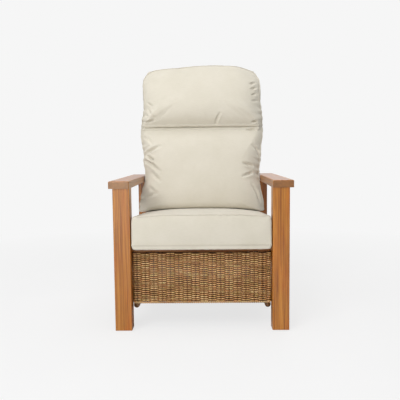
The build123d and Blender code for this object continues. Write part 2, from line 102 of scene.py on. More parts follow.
# Node materials
def linear(*rgb):
    """Linear colour of an sRGB colour given from 0 to 255."""
    parts = []
    for value in rgb:
        share = value / 255
        parts.append(share / 12.92 if share <= 0.04045 else ((share + 0.055) / 1.055) ** 2.4)
    return (*parts, 1.0)


def axis_scale(along, length, across):
    """Texture scale on X, Y and Z, with a value of its own along one axis."""
    return [length if axis == along else across for axis in "XYZ"]


class Graph:
    """Short calls for building a material's node tree."""

    def __init__(self, name):
        self.material = bpy.data.materials.new(name)
        self.material.use_nodes = True
        self.tree = self.material.node_tree
        self.shader = self.tree.nodes["Principled BSDF"]

    def node(self, kind, inputs=(), **settings):
        made = self.tree.nodes.new(kind)
        for key, value in settings.items():
            setattr(made, key, value)
        for key, value in dict(inputs).items():
            self.put(made.inputs[key], value)
        return made

    def put(self, socket, value):
        if isinstance(value, bpy.types.NodeSocket):
            self.tree.links.new(value, socket)
        else:
            socket.default_value = value

    def coordinates(self, source):
        """Texture coordinates of one kind, object coordinates being in metres."""
        return self.node("ShaderNodeTexCoord").outputs[source]

    def parts(self, source):
        """X, Y and Z of texture coordinates of one kind."""
        return self.node("ShaderNodeSeparateXYZ", {0: self.coordinates(source)}).outputs

    def place(self, scale):
        """Object coordinates stretched by a scale for each axis."""
        inputs = {"Vector": self.coordinates("Object"), "Scale": scale}
        return self.node("ShaderNodeMapping", inputs).outputs[0]

    def noise(self, scale, detail, rough, warp=0.0):
        inputs = {
            "Vector": self.place(scale), "Scale": 1.0,
            "Detail": detail, "Roughness": rough, "Distortion": warp,
        }
        return self.node("ShaderNodeTexNoise", inputs).outputs["Fac"]

    def ramp(self, value, stops):
        made = self.node("ShaderNodeValToRGB", {"Fac": value})
        points = made.color_ramp.elements
        while len(points) < len(stops):
            points.new(0.5)
        for point, (place, colour) in zip(points, stops):
            point.position, point.color = place, colour
        return made.outputs["Color"]

    def math(self, operation, first, second=0.0):
        inputs = {0: first, 1: second}
        return self.node("ShaderNodeMath", inputs, operation=operation).outputs[0]

    def slope(self, value, rise, start):
        """A value times its rise, plus a start."""
        return self.math("ADD", self.math("MULTIPLY", value, rise), start)

    def spread(self, value, low, high, start, end):
        """A value from low to high brought to the span from start to end."""
        inputs = {0: value, 1: low, 2: high, 3: start, 4: end}
        return self.node("ShaderNodeMapRange", inputs).outputs[0]

    def mix(self, share, first, second, blend="MIX"):
        made = self.node("ShaderNodeMix", data_type="RGBA", blend_type=blend)
        for number, value in ((0, share), (6, first), (7, second)):
            self.put(made.inputs[number], value)
        return made.outputs[2]

    def shade(self, share, base, value, stops):
        """The base colour multiplied by a ramp over a value, to a share."""
        return self.mix(share, base, self.ramp(value, stops), "MULTIPLY")

    def bump(self, height, strength, distance, under=None):
        inputs = {"Height": height, "Strength": strength, "Distance": distance}
        made = self.node("ShaderNodeBump", inputs)
        if under is not None:
            self.put(made.inputs["Normal"], under)
        return made.outputs[0]

    def finish(self, **inputs):
        for key, value in inputs.items():
            self.put(self.shader.inputs[key.replace("_", " ")], value)
        return self.material


oak_browns = ((197, 136, 56), (173, 110, 31), (124, 68, 12))
oak_board_shade = (0.86, 0.78, 0.68, 1.0)
oak_pore_shade = (0.62, 0.54, 0.44, 1.0)
oak_warm_shade = (1.0, 0.8, 0.52, 1.0)
end_grain = (150, 108, 68)
end_grain_dark_share = 0.8


def oak(name, along, tint=1.0, shift=0.0, end=end_grain):
    """Honey oak with its grain along one axis and duller end grain."""
    graph = Graph(name)
    light, mean, dark = [
        linear(*[min(255, part * tint) for part in colour]) for colour in oak_browns
    ]
    grain = graph.noise(axis_scale(along, 2.0, 110.0), 6.0, 0.68, 0.5)
    pores = graph.noise(axis_scale(along, 5.0, 400.0), 3.0, 0.6)
    boards = graph.noise(axis_scale(along, 1.3 + shift, 21.0 + shift), 3.0, 0.5)
    patches = graph.noise(axis_scale(along, 5.0, 24.0), 3.0, 0.55, 0.6)
    base = graph.ramp(grain, [(0.32, dark), (0.5, mean), (0.68, light)])
    base = graph.shade(0.9, base, boards, [(0.3, oak_board_shade), (0.66, white)])
    base = graph.shade(0.75, base, pores, [(0.36, oak_pore_shade), (0.52, white)])
    base = graph.shade(0.85, base, patches, [(0.46, white), (0.66, oak_warm_shade)])

    facing_end = graph.math("POWER", graph.math("ABSOLUTE", graph.parts("Normal")[along]), 6.0)
    rings = graph.noise((40.0, 40.0, 90.0), 4.0, 0.6)
    end_dark = [part * end_grain_dark_share for part in end]
    base = graph.mix(
        facing_end, base, graph.ramp(rings, [(0.3, linear(*end_dark)), (0.7, linear(*end))])
    )
    normal = graph.bump(pores, 0.14, 0.4 * mm, graph.bump(grain, 0.1, 0.6 * mm))
    return graph.finish(
        Base_Color=base, Roughness=graph.slope(grain, 0.14, 0.27), Normal=normal,
        Coat_Weight=0.2, Coat_Roughness=0.16,
    )


cane_red_shade = (1.0, 0.82, 0.72, 1.0)
cane_green_shade = (0.88, 1.0, 0.78, 1.0)
cane_thread_shade = (0.8, 0.77, 0.74, 1.0)
# Painted shade for cane in a weave: deep inside it, at its dips and between its stakes
cane_painted_deep_shade = (0.12, 0.08, 0.04, 1.0)
cane_painted_dip_shade = (0.44, 0.36, 0.26, 1.0)
cane_painted_gap_shade = (0.5, 0.42, 0.32, 1.0)


def rattan(name, along, colours, strand_scale=12.0, weave=None):
    """Cane in uneven browns with its fibres along one axis, with painted shade where it is in a
    weave.
    """
    graph = Graph(name)
    patch = graph.noise((15.0, 15.0, 24.0), 2.0, 0.5)
    strand = graph.noise(axis_scale(along, strand_scale, 232.0), 2.0, 0.5)
    tone = graph.noise(axis_scale(along, 30.0, 170.0), 1.0, 0.5)
    fibre = graph.noise(axis_scale(along, 30.0, 1500.0), 2.0, 0.5)
    dark, mean, light = [linear(*colour) for colour in colours]
    both = graph.math(
        "ADD", graph.math("MULTIPLY", patch, 0.25), graph.math("MULTIPLY", strand, 0.75)
    )
    base = graph.ramp(both, [(0.36, dark), (0.5, mean), (0.64, light)])
    hues = [(0.36, cane_red_shade), (0.5, white), (0.64, cane_green_shade)]
    base = graph.shade(0.8, base, tone, hues)
    base = graph.shade(0.6, base, fibre, [(0.35, cane_thread_shade), (0.6, white)])
    if weave:
        base = weave_shadow(graph, base, *weave)
    return graph.finish(
        Base_Color=base, Roughness=graph.slope(strand, 0.25, 0.34),
        Normal=graph.bump(fibre, 0.25, 0.3 * mm), Coat_Weight=0.12, Coat_Roughness=0.3,
    )


def weave_shadow(graph, base, face, inner, outer, side, start, step):
    """Paints shade on the cane, darker towards the inside of a woven panel and between its stakes.
    """
    places = graph.parts("Object")
    height = graph.spread(places[face], inner, outer, 0.0, 1.0)
    # Painted shade, darkest towards the inside of the weave
    depths = [(0.0, cane_painted_deep_shade), (0.3, cane_painted_dip_shade), (0.6, white)]
    base = graph.shade(1.0, base, height, depths)
    # Painted shade between the stakes
    turns = graph.math("MULTIPLY", graph.math("SUBTRACT", places[side], start), full_turn / step)
    between = graph.math("MULTIPLY", graph.math("ADD", graph.math("COSINE", turns), 1.0), 0.5)
    return graph.shade(1.0, base, between, [(0.58, white), (1.0, cane_painted_gap_shade)])


cloth_thread_pitch = 1.1 * mm
cloth_knot_shade = (0.95, 0.945, 0.93, 1.0)


def cloth(name, colour, shade):
    """Cream upholstery cloth with a fine plain weave and a soft sheen."""
    graph = Graph(name)
    bands = 1.0 / cloth_thread_pitch / 2.0
    threads = []
    for axis in "XYZ":
        vector = graph.place(axis_scale(axis, bands, bands * 0.02))
        inputs = {"Vector": vector, "Scale": 1.0, "Distortion": 0.6, "Detail": 1.0}
        wave = graph.node("ShaderNodeTexWave", inputs, bands_direction=axis)
        threads.append(wave.outputs["Fac"])
    weave = graph.math("MULTIPLY", graph.math("ADD", threads[0], threads[1]), threads[2])
    mottle = graph.noise((9.0, 9.0, 9.0), 4.0, 0.6)
    slub = graph.noise((60.0, 60.0, 700.0), 2.0, 0.5)
    soft = graph.noise((26.0, 26.0, 26.0), 3.0, 0.5)
    base = graph.ramp(mottle, [(0.2, linear(*shade)), (0.8, linear(*colour))])
    base = graph.shade(0.7, base, slub, [(0.3, cloth_knot_shade), (0.55, white)])
    normal = graph.bump(weave, 0.22, 0.25 * mm, graph.bump(soft, 0.18, 4 * mm))
    return graph.finish(
        Base_Color=base, Roughness=0.88, Normal=normal, Sheen_Weight=0.18, Sheen_Roughness=0.45
    )


metal_dark_share = 0.8


def metal(name, colour, metallic, rough, grain):
    """Coated or plated steel, or nylon, with a fine uneven surface."""
    graph = Graph(name)
    fine = graph.noise(grain, 3.0, 0.6)
    light = linear(*colour)
    dark = [part * metal_dark_share for part in light[:3]] + [1.0]
    return graph.finish(
        Base_Color=graph.ramp(fine, [(0.35, dark), (0.65, light)]), Metallic=metallic,
        Roughness=graph.slope(fine, 0.2, rough), Normal=graph.bump(fine, 0.15, 0.2 * mm),
    )


cream = cloth("cream_cloth", (214, 208, 194), (206, 200, 184))
cream_cord = cloth("cream_piping", (206, 200, 186), (196, 189, 173))
cane_browns = ((154, 106, 52), (195, 149, 90), (224, 187, 134))
cane_pale = rattan("rattan_border", "X", ((150, 112, 72), (186, 148, 106), (210, 178, 138)))
cane_x = rattan("rattan_along_x", "X", cane_browns)
# Stake cane painted darker than the strands, as painted shade in the gaps of the weave; the dark
# sheet in each weave's middle uses it too
cane_stake_and_painted_shade = rattan("rattan_stakes_and_painted_shade", "Z", ((74, 46, 22), (104, 68, 34), (132, 92, 50)))
cane_wrap = rattan("rattan_wrapping", "Z", ((96, 66, 36), (128, 92, 56), (152, 116, 78)), 120.0)
black_coat = metal("black_powder_coat", (46, 44, 42), 0.0, 0.42, (900.0, 900.0, 900.0))
zinc = metal("zinc_plate", (178, 178, 174), 1.0, 0.26, (1400.0, 500.0, 500.0))
nylon = metal("black_nylon", (36, 34, 32), 0.0, 0.55, (500.0, 500.0, 500.0))

# Three oaks for each way of the grain, so that neighbours differ a little
oak_kinds = 3
oak_tint_step, oak_shift_step = 0.02, 0.37
oak_for = {
    axis: [
        oak(f"oak_{axis}_{n}", axis, 1.0 + oak_tint_step * n, oak_shift_step * n)
        for n in range(oak_kinds)
    ]
    for axis in "XYZ"
}
# The right arm's oak and end grain are painted darker than the left's, as shade on the side away
# from the key lamp
arm_oak = {
    "armrest_left": oak("oak_arm_left", "Y", 0.97, 0.6, (156, 110, 64)),
    "armrest_right": oak("oak_arm_right", "Y", 0.95, 1.4, (146, 96, 48)),
}
# Way of the grain by the start of a node's name, X for the others
grain_axis = {
    "front_leg": "Z", "rear_leg": "Z", "back_stile": "Z", "back_slats": "Z",
    "armrest": "Y", "side_rail": "Y", "mount_rail": "Y",
}
finish_of = {
    "zinc_steel": zinc, "dark_steel": black_coat, "black_plastic": nylon, "cream_fabric": cream,
}


def finish_nodes():
    """Gives every CAD node its procedural finish."""
    slots = {entry["node"]: entry["material_slot"] for entry in frame["record"]["subparts"]}
    for number, (name, obj) in enumerate(sorted(nodes.items())):
        slot = slots[name]
        if name in arm_oak:
            material = arm_oak[name]
        elif slot == "honey_oak":
            axes = (axis for start, axis in grain_axis.items() if name.startswith(start))
            material = oak_for[next(axes, "X")][number % oak_kinds]
        elif slot.startswith("rattan"):
            material = cane_x
        else:
            material = finish_of[slot]
        if not obj.material_slots:
            obj.data.materials.append(material)
        for place in obj.material_slots:
            place.material = material


# Mesh helpers
def mesh_object(name, vertices, faces, material, body):
    """A smooth piece of its own that rides on a body."""
    data = bpy.data.meshes.new(name)
    data.from_pydata([tuple(v) for v in vertices], [], faces)
    data.validate()
    data.polygons.foreach_set("use_smooth", [True] * len(data.polygons))
    data.materials.append(material)
    obj = bpy.data.objects.new(name, data)
    scene.collection.objects.link(obj)
    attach(obj, body)
    return obj


def tube_faces(count, sides, inward=False):
    """Faces between the rings of a tube and over its two ends, in either winding."""
    order = (0, 3, 2, 1) if inward else (0, 1, 2, 3)
    faces = []
    for i in range(count - 1):
        near, far = i * sides, (i + 1) * sides
        for j in range(sides):
            after = (j + 1) % sides
            corners = (near + j, near + after, far + after, far + j)
            faces.append(tuple(corners[k] for k in order))
    first, last = tuple(range(sides)), tuple(range((count - 1) * sides, count * sides))
    return faces + ([first, last[::-1]] if inward else [first[::-1], last])


def tube(path, cross_axes, radii, sides=8):
    """Vertices and faces of a closed tube along a path, with its two cross axes and radii."""
    path = np.asarray(path, float)
    first, second = cross_axes
    turns = np.arange(sides) / sides * full_turn
    ring = (
        np.cos(turns)[None, :, None] * (first * radii[0])[:, None, :]
        + np.sin(turns)[None, :, None] * (second * radii[1])[:, None, :]
    )
    return (path[:, None, :] + ring).reshape(-1, 3), tube_faces(len(path), sides)


def frames_along(path):
    """Two cross axes at each point of a path, turned as little as possible."""
    along = np.gradient(np.asarray(path, float), axis=0)
    along /= np.linalg.norm(along, axis=1)[:, None]
    steep = abs(along[0][2]) >= 0.8
    axis = np.array([1.0, 0.0, 0.0]) if steep else np.array([0.0, 0.0, 1.0])
    first = []
    for direction in along:
        axis = axis - direction * np.dot(axis, direction)
        axis /= np.linalg.norm(axis)
        first.append(axis)
    first = np.array(first)
    return first, np.cross(along, first)


class Bundle:
    """Many tubes gathered into one mesh."""

    def __init__(self):
        self.vertices, self.faces, self.count = [], [], 0

    def add(self, vertices, faces):
        self.vertices.append(vertices)
        self.faces += [tuple(corner + self.count for corner in face) for face in faces]
        self.count += len(vertices)

    def add_round(self, path, radius):
        self.add(*tube(path, frames_along(path), (radius, radius)))

    def add_oval(self, path, axes, radii):
        """Adds a tube whose section keeps the same two axes all along."""
        self.add(*tube(path, [np.tile(axis, (len(path), 1)) for axis in axes], radii))

    def build(self, name, material, body):
        vertices = np.concatenate(self.vertices)
        return mesh_object(name, vertices, self.faces, material, body)


def middle_of(node):
    """Low corner, high corner and middle of a node's box."""
    low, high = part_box(node)
    return low, high, (low + high) / 2


# Woven panels: pitches as measured in the photograph's front panel
stake_pitch_wanted, row_pitch_wanted = 16.5 * mm, 4.3 * mm
stake_radii, stake_margin, stake_points = (2.9 * mm, 1.7 * mm), 0.6 * mm, 24
stake_shake, stake_lean = 0.3 * mm, 0.06 * mm
edge_stake_radii, edge_stake_inset, edge_stake_margin = (2.3 * mm, 1.7 * mm), 2.4 * mm, 0.3 * mm
core_thickness, core_margin = 0.7 * mm, 0.5 * mm
strand_share, strand_flat = 0.47, 1.16
strand_swing, strand_square = 2.9 * mm, 0.45
strand_shake = 0.14 * mm
points_per_stake = 8
# Depths inwards and outwards from the weave's middle over which its painted shade runs
shadow_inner, shadow_outer = 1.8 * mm, 4.6 * mm


def waver(u, width, size, slow, fast):
    """A wave along a strand, whose rate and start are drawn at random."""
    return size * np.sin(u / width * rng.uniform(slow, fast) + rng.uniform(0, 6))


def woven_panel(name, node, body, face, way):
    """Weave of round strands, over and under two upright stakes at a time, strand by strand.

    It faces along the axis with number face, in the direction way, and runs along the other
    level axis and up.
    """
    side = 1 - face
    low, high, centre = middle_of(node)
    width, height = high[side] - low[side], high.z - low.z
    stake_count, row_count = round(width / stake_pitch_wanted), round(height / row_pitch_wanted)
    stake_pitch, row_pitch = width / stake_count, height / row_count
    across, out, up = np.eye(3)[side], way * np.eye(3)[face], np.eye(3)[2]
    corner = np.array(low, float)
    corner[face] = centre[face]

    stakes = Bundle()
    for k in range(stake_count):
        u = (k + 0.5) * stake_pitch + rng.normal(0, stake_shake)
        v = np.linspace(stake_margin, height - stake_margin, stake_points)
        lean = np.cumsum(rng.normal(0, stake_lean, len(v)))
        path = corner + across * (u + lean)[:, None] + up * v[:, None]
        stakes.add_oval(path, (across, out), stake_radii)
    # Edge stakes, then the imported middle of the weave, a dark sheet that stands in for the shade
    # inside the weave and closes it to light
    core_radii = (width / 2 - core_margin, core_thickness)
    ends = np.array([[edge_stake_margin], [height - edge_stake_margin]])
    for u, radii in (
        (edge_stake_inset, edge_stake_radii),
        (width - edge_stake_inset, edge_stake_radii),
        (width / 2, core_radii),
    ):
        stakes.add_oval(corner + across * u + up * ends, (across, out), radii)

    rows = Bundle()
    radius = row_pitch * strand_share
    u = np.linspace(0.0, width, stake_count * points_per_stake + 1)
    for j in range(row_count):
        v = (j + 0.5) * row_pitch + rng.normal(0, strand_shake)
        crossing = u + waver(u, width, 1.3 * mm, 20, 60)
        wave = np.cos(math.pi * (crossing / stake_pitch / 2 - 0.5 + j))
        dip = 0.8 - 0.2 * np.cos(full_turn * u / stake_pitch)
        wave = strand_swing * np.sign(wave) * np.abs(wave) ** strand_square * dip
        wave = wave * rng.uniform(0.92, 1.06)
        drift = waver(u, width, 0.35 * mm, 4, 15)
        thick = radius * rng.uniform(0.92, 1.04)
        path = corner + across * u[:, None] + up * (v + drift * 0.5)[:, None]
        path = path + out * wave[:, None]
        rows.add_oval(path, (up, out), (thick * strand_flat, thick))

    # Where the weave's painted shade runs from dark to light, and the stake spacing for the painted
    # shade between stakes
    inner, outer = corner[face] - way * shadow_inner, corner[face] + way * shadow_outer
    weave = ("XYZ"[face], inner, outer, "XYZ"[side], corner[side], stake_pitch)
    cane = rattan(f"rattan_{name}", "XYZ"[side], cane_browns, weave=weave)
    woven = rows.build(name, cane, body)
    stakes.build(f"{name}_stakes", cane_stake_and_painted_shade, body)
    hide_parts(node)


def panels():
    """The footrest's woven front, both sides and the rear."""
    woven_panel("front_weave", "footrest_weave", "footrest", 1, -1)
    woven_panel("left_weave", "side_weave_left", "base", 0, -1)
    woven_panel("right_weave", "side_weave_right", "base", 0, 1)
    woven_panel("back_weave", "rear_weave", "base", 1, 1)


border_strand, border_spread, border_pitch = 2.15 * mm, 2.0 * mm, 17.0 * mm
border_core, border_rise, border_points = 2.8 * mm, 0.9 * mm, 900


def twisted_border():
    """Two strands twisted round each other and a core, under the front weave."""
    low, high, centre = middle_of("footrest_border")
    x = np.linspace(low.x + border_strand, high.x - border_strand, border_points)
    level = centre.z + border_rise
    rope = Bundle()
    rope.add_round([(x[0], centre.y, level), (x[-1], centre.y, level)], border_core)
    for start in (0.0, math.pi):
        turn = x / border_pitch * full_turn + start
        y, z = centre.y + border_spread * np.cos(turn), level + border_spread * np.sin(turn)
        rope.add_round(np.stack([x, y, z], axis=1), border_strand)
    piece = rope.build("front_border", cane_pale, "footrest")
    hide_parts("footrest_border")


winding_pitch, winding_depth = 6.5 * mm, 1.3 * mm
winding_points, winding_sides = 900, 20


def wrapped_poles():
    """Poles of the side panels, each wound with a flat strand."""
    turns = np.arange(winding_sides) / winding_sides * full_turn
    for level in ("top", "bottom"):
        low, high, centre = middle_of(f"side_poles_{level}")
        radius = (high.z - low.z) / 2
        both = Bundle()
        for pole_x in (low.x + radius, high.x - radius):
            y = np.linspace(low.y, high.y, winding_points)
            lay = (y[:, None] / winding_pitch + turns[None, :] / full_turn) % 1.0
            wound = radius - winding_depth * (2 * np.abs(lay - 0.5)) ** 4
            x = pole_x + wound * np.cos(turns)[None, :]
            z = centre.z + wound * np.sin(turns)[None, :]
            rings = np.stack([x, np.repeat(y[:, None], winding_sides, 1), z], axis=2)
            faces = tube_faces(winding_points, winding_sides, inward=True)
            both.add(rings.reshape(-1, 3), faces)
        piece = both.build(f"wrapped_poles_{level}", cane_wrap, "base")
        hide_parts(f"side_poles_{level}")


# Cushions: work on a pad's mesh
def apply_all(obj):
    """Applies a piece's modifiers to its mesh."""
    shown = obj.evaluated_get(bpy.context.evaluated_depsgraph_get())
    data = bpy.data.meshes.new_from_object(shown)
    obj.modifiers.clear()
    obj.data = data


def read_vertices(obj, what):
    flat = np.empty(len(obj.data.vertices) * 3)
    obj.data.vertices.foreach_get(what, flat)
    return flat.reshape(-1, 3)


def points_of(obj):
    return read_vertices(obj, "co")


def normals_of(obj):
    return read_vertices(obj, "normal")


def set_points(obj, points):
    obj.data.vertices.foreach_set("co", points.ravel())
    obj.data.update()


def surface_of(obj):
    """The piece's present surface, for finding points on it."""
    points = [Vector(point) for point in points_of(obj)]
    return BVHTree.FromPolygons(points, [tuple(face.vertices) for face in obj.data.polygons])


voxel = 6.0 * mm


def cushion_from(node, name):
    """Soft piece that starts as its CAD solid's form."""
    obj = bpy.data.objects.new(name, nodes[node].data.copy())
    scene.collection.objects.link(obj)
    made = obj.modifiers.new("remesh", "REMESH")
    made.mode, made.voxel_size = "VOXEL", voxel
    made.use_smooth_shade = True
    apply_all(obj)
    return obj


def refine(obj):
    """Subdivides the pad once."""
    made = obj.modifiers.new("refine", "SUBSURF")
    made.levels = made.render_levels = 1
    apply_all(obj)


cloth_frames = 20
cushion_pressure = 4.0
start_shrink = 3.0 * mm


def swell(obj, held, cap):
    """Blows the cover up by cloth simulation, its seams held, and keeps each point within a cap."""
    rest = points_of(obj)
    set_points(obj, rest - normals_of(obj) * (start_shrink * (1 - held))[:, None])
    group = obj.vertex_groups.new(name="seams")
    for number in np.nonzero(held > 0.02)[0]:
        group.add([int(number)], float(held[number]), "REPLACE")
    made = obj.modifiers.new("cloth", "CLOTH")
    settings = made.settings
    settings.quality = 6
    settings.use_pressure = True
    settings.uniform_pressure_force = cushion_pressure
    settings.vertex_group_mass = "seams"
    settings.tension_stiffness = settings.compression_stiffness = 10.0
    settings.shear_stiffness = 4.0
    settings.bending_stiffness = 0.4
    settings.effector_weights.gravity = 0.0
    made.collision_settings.use_collision = False
    for number in range(1, cloth_frames + 1):
        scene.frame_set(number)
    apply_all(obj)
    scene.frame_set(1)
    moved = points_of(obj) - rest
    length = np.linalg.norm(moved, axis=1)
    moved *= np.minimum(1.0, cap / np.maximum(length, 1e-9))[:, None]
    set_points(obj, rest + moved)


# Paths on a pad and distances to them
scan_reach = 6 * mm
seam_step = 4 * mm
near_limit = 80 * mm
chunk = 4000


def scan(points, axis, places, direction):
    """For each place along an axis, the point that lies furthest in a direction."""
    reach = points @ np.array(direction, float)
    found = []
    for place in places:
        near = np.abs(points[:, axis] - place) < scan_reach
        picked = points[near][np.argmax(reach[near])].copy()
        picked[axis] = place
        found.append(picked)
    return np.array(found)


def lengths_along(path):
    """Length from the path's start to each of its points."""
    return np.concatenate([[0], np.cumsum(np.linalg.norm(np.diff(path, axis=0), axis=1))])


def even(path, step, closed=False, ease=5):
    """The path with its corners eased and its points evenly spaced."""
    path = np.asarray(path, float)
    if closed:
        path = np.concatenate([path, path[:1]])
    lengths = lengths_along(path)
    count = max(8, int(lengths[-1] / step))
    places = np.linspace(0, lengths[-1], count, endpoint=not closed)
    made = np.stack([np.interp(places, lengths, path[:, k]) for k in range(3)], axis=1)
    weights = np.hanning(2 * ease + 3)[1:-1]
    weights /= weights.sum()
    padded = np.pad(made, ((ease, ease), (0, 0)), mode="wrap" if closed else "edge")
    return np.stack([np.convolve(padded[:, k], weights, "valid") for k in range(3)], axis=1)


def distance_to(points, path, limit=near_limit):
    """Distance of each point to a path, and the place along it, for the points near its box."""
    path = np.asarray(path)
    low, high = path.min(axis=0) - limit, path.max(axis=0) + limit
    near = np.nonzero(np.all((points > low) & (points < high), axis=1))[0]
    far = np.full(len(points), 1.0)
    place = np.zeros(len(points))
    along = lengths_along(path)
    for start in range(0, len(near), chunk):
        part = near[start:start + chunk]
        gaps = np.linalg.norm(points[part][:, None, :] - path[None, :, :], axis=2)
        best = gaps.argmin(axis=1)
        far[part] = gaps[np.arange(len(part)), best]
        place[part] = along[best]
    return far, place


def surface_path(obj, path, lift):
    """The path laid on the cushion's present surface, raised a little above it."""
    surface = surface_of(obj)
    laid = []
    for point in path:
        found, normal, _, _ = surface.find_nearest(Vector(point))
        laid.append(found + normal * lift)
    return np.array(laid)


def hits(obj, pixels):
    """Where rays through places in the picture meet the cushion."""
    surface = surface_of(obj)
    found = []
    for px, py in pixels:
        point = surface.ray_cast(camera_at, pixel_ray(px, py))[0]
        if point is not None:
            found.append(point)
    return np.array(found)


def ease_step(value, start, end):
    """Smooth step of a value from 0 at the start to 1 at the end."""
    share = np.clip((value - start) / (end - start), 0, 1)
    return share * share * (3 - 2 * share)


# Seams, folds and piping
groove_width, groove_depth = 6 * mm, 1.6 * mm
gather_reach, gather_pitch = 30 * mm, 34 * mm
gather_drift, gather_swell = 70 * mm, 43 * mm
# The gathers fade out over the top of the upper back pad
gather_fade_low, gather_fade_high = 1.03, 1.09
fold_width_factor, fold_depth_factor = 1.3, 1.8
cord_radius, cord_lift = 2.0 * mm, 0.9 * mm


def seam_groove(obj, path, pucker, seed):
    """Draws the cover in along a seam, with small gathers beside it."""
    points, normals = points_of(obj), normals_of(obj)
    far, place = distance_to(points, path)
    drawn = groove_depth * np.exp(-((far / groove_width) ** 2))
    wave = np.sin(place / gather_pitch * full_turn + 1.7 * np.sin(place / gather_drift + seed))
    wave *= 0.55 + 0.45 * np.sin(place / gather_swell + 2.3 * seed)
    gathers = pucker * wave * np.exp(-far / gather_reach) * (far < near_limit)
    gathers *= 1 - 0.8 * ease_step(points[:, 2], gather_fade_low, gather_fade_high)
    set_points(obj, points + normals * (gathers - drawn)[:, None])


def crease(obj, pixels, width, depth):
    """A fold along places in the picture, deepest in its middle, with a lip on each side."""
    path = hits(obj, pixels)
    if len(path) < 2:
        return
    path = even(path, 2 * mm, ease=3)
    points, normals = points_of(obj), normals_of(obj)
    far, place = distance_to(points, path, 4 * width)
    total = max(place.max(), 1e-6)
    taper = np.sin(np.clip(place / total, 0.06, 0.94) * math.pi) ** 0.6
    shape = (1 - 1.4 * (far / width) ** 2) * np.exp(-((far / width) ** 2))
    set_points(obj, points - normals * (depth * shape * taper * (far < 4 * width))[:, None])


def piping(name, paths, body):
    """Covered cord along the seams, as one piece."""
    made = Bundle()
    for path, closed in paths:
        if closed:
            path = np.concatenate([path, path[:1]])
        made.add_round(path, cord_radius)
    return made.build(name, cream_cord, body)


def seat_seams(points):
    """Welts round the top edge of the seat cushion and above its bottom edge."""
    inset, lower_welt, band = 14 * mm, 18 * mm, 5 * mm
    low, high = points.min(axis=0), points.max(axis=0)
    x, y = (np.linspace(low[k] + inset, high[k] - inset, 60) for k in (0, 1))
    level = points[np.abs(points[:, 2] - low[2] - lower_welt) < band]
    loops = []
    for cloud, up in ((points, 1), (level, 0)):
        parts = [
            scan(cloud, 0, x, (0, -1, up)),
            scan(cloud, 1, y, (1, 0, up)),
            scan(cloud, 0, x[::-1], (0, 1, up)),
            scan(cloud, 1, y[::-1], (-1, 0, up)),
        ]
        loops.append((even(np.concatenate(parts), seam_step, True), True))
    return loops


def back_seams(points, over_top):
    """Lines up both front edges of a back cushion, joined over its top where that is asked."""
    margin, top_margin, top_half_width = 6 * mm, 56 * mm, 0.245
    low, high = points.min(axis=0), points.max(axis=0)
    z = np.linspace(low[2] + margin, high[2] - (top_margin if over_top else margin), 60)
    right, left = (scan(points, 2, z, (side, -0.5, 0)) for side in (1, -1))
    if not over_top:
        return [(even(left, seam_step), False), (even(right, seam_step), False)]
    over = scan(points, 0, np.linspace(-top_half_width, top_half_width, 60), (0, -0.3, 1))
    return [(even(np.concatenate([left, over, right[::-1]]), seam_step, ease=7), False)]


# Fitting a pad to its outline and to its neighbours
grid_step = 6 * mm
widening_step = 8 * mm


def outline_by(points, axis, value, grid):
    """Greatest value of the points near each place of a grid along an axis, smoothed."""
    step = grid[1] - grid[0]
    found = np.array([
        value[np.abs(points[:, axis] - place) < step].max(initial=-1.0) for place in grid
    ])
    known = found > -1.0
    found = np.interp(grid, grid[known], found[known])
    return np.convolve(np.pad(found, 2, mode="edge"), np.ones(5) / 5, "valid")


def front_and_rear(points, grid):
    """The pad's front and rear Y at the height of each of its points."""
    y, z = points[:, 1], points[:, 2]
    front, rear = -outline_by(points, 2, -y, grid), outline_by(points, 2, y, grid)
    return np.interp(z, grid, front), np.interp(z, grid, rear)


# Room kept round the arms and the rear legs while the back moves
recline_degrees = 34
arm_room_rear, arm_room_under, arm_room_over = 4 * mm, 3 * mm, 2 * mm
leg_room_front, leg_room_rear, leg_room_over = 8 * mm, 4 * mm, 4 * mm
back_side_gap, seat_side_gap, seat_side_limit = 0.7 * mm, 1.2 * mm, 0.4 * mm


def passes_frame(points):
    """Whether each point of the back meets the arms or the rear legs on its way to recline."""
    hinge = np.array(frame["record"]["behaviour"]["joints"][0]["pos_m"])
    arm_low, arm_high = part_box("armrest_left")
    leg_low, leg_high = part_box("rear_leg_left")
    dy, dz = points[:, 1] - hinge[1], points[:, 2] - hinge[2]
    meets = np.zeros(len(points), bool)
    for angle in np.radians(np.arange(recline_degrees + 1)):
        y = hinge[1] + dy * math.cos(angle) + dz * math.sin(angle)
        z = hinge[2] - dy * math.sin(angle) + dz * math.cos(angle)
        beside_arm = (z > arm_low.z - arm_room_under) & (z < arm_high.z + arm_room_over)
        meets |= (y < arm_high.y + arm_room_rear) & beside_arm
        beside_leg = (y > leg_low.y - leg_room_front) & (y < leg_high.y + leg_room_rear)
        meets |= beside_leg & (z < leg_high.z + leg_room_over)
    return meets


def keep_clear(obj):
    """Holds the back pad off the arms and the rear legs at every angle of the back."""
    points = points_of(obj)
    tight = passes_frame(points)
    limit = inner_x - back_side_gap
    points[tight, 0] = np.clip(points[tight, 0], -limit, limit)
    set_points(obj, points)


def fit_reach(obj, left, right):
    """Moves the pad's sides out or in to their reach at each height, most in front."""
    points = points_of(obj)
    x, y, z = points.T
    grid = np.arange(z.min(), z.max(), grid_step)
    front, rear = front_and_rear(points, grid)
    weight = 0.25 + 0.75 * ease_step((rear - y) / (rear - front), 0.15, 0.6)
    for side, table in ((-1, left), (1, right)):
        heights, reaches = np.array(table).T * mm
        now = outline_by(points, 2, side * x, grid)
        change = np.interp(z, grid, np.interp(grid, heights, reaches) - now)
        share = np.clip(side * x / np.interp(z, grid, now), 0, 1.2)
        points[:, 0] += side * change * share ** 3 * weight
    set_points(obj, points)


